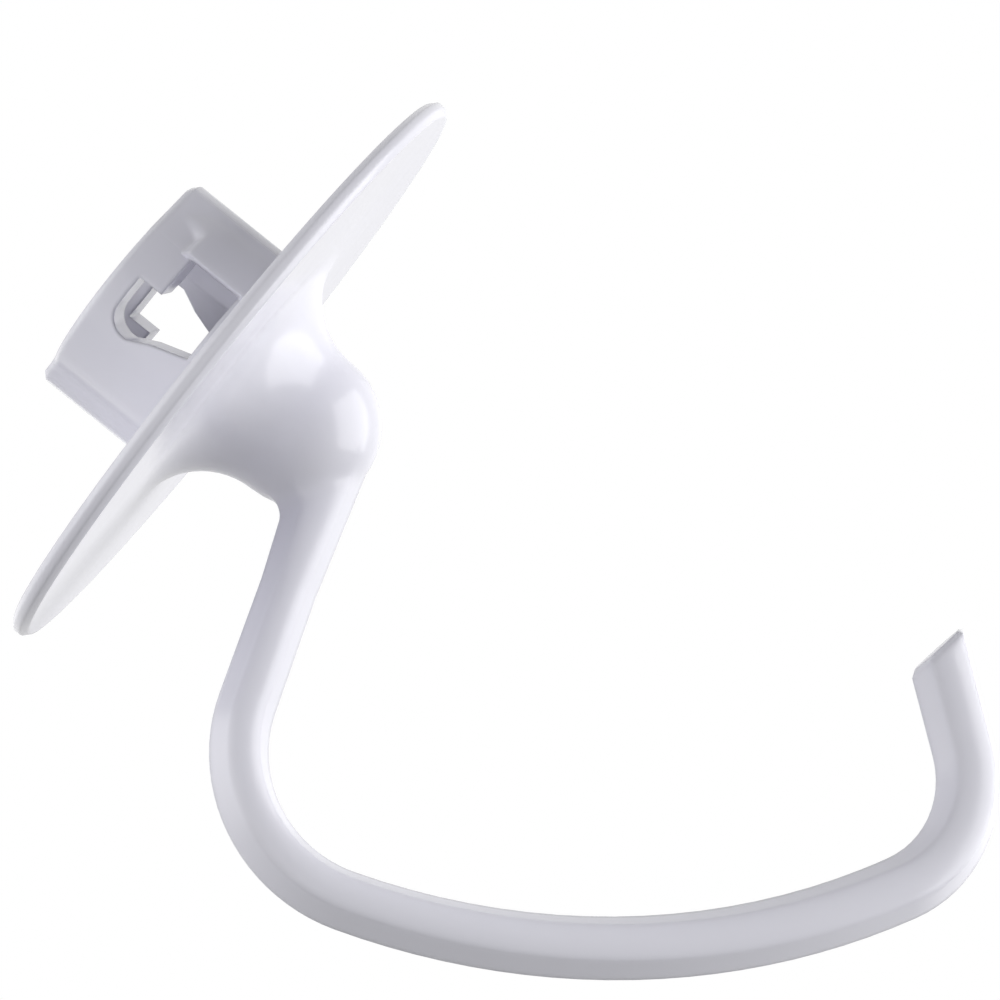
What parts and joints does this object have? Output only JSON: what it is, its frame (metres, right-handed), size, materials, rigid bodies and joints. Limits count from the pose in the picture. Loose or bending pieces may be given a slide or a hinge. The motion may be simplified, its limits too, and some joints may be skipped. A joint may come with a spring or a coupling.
{
  "type": "stand mixer dough hook",
  "caption": "C-shaped dough hook in white-coated cast metal: socket hub with bayonet pin paths, round flat shield, domed boss and a curved kneading arm.",
  "frame": {"origin": "on the socket's axis, at the floor of the pin paths, where the full round of the bore begins", "axes": "+Z along the bore, out of the socket's mouth towards the machine; the arm lies in the XZ plane with its toe on the +X side"},
  "size_m": [0.1001, 0.0924, 0.1423],
  "materials": {
    "white_coat": "smooth glossy white coat over cast aluminium"
  },
  "bodies": {
    "root": {"dough_hook": "white_coat"}
  },
  "joints": []
}
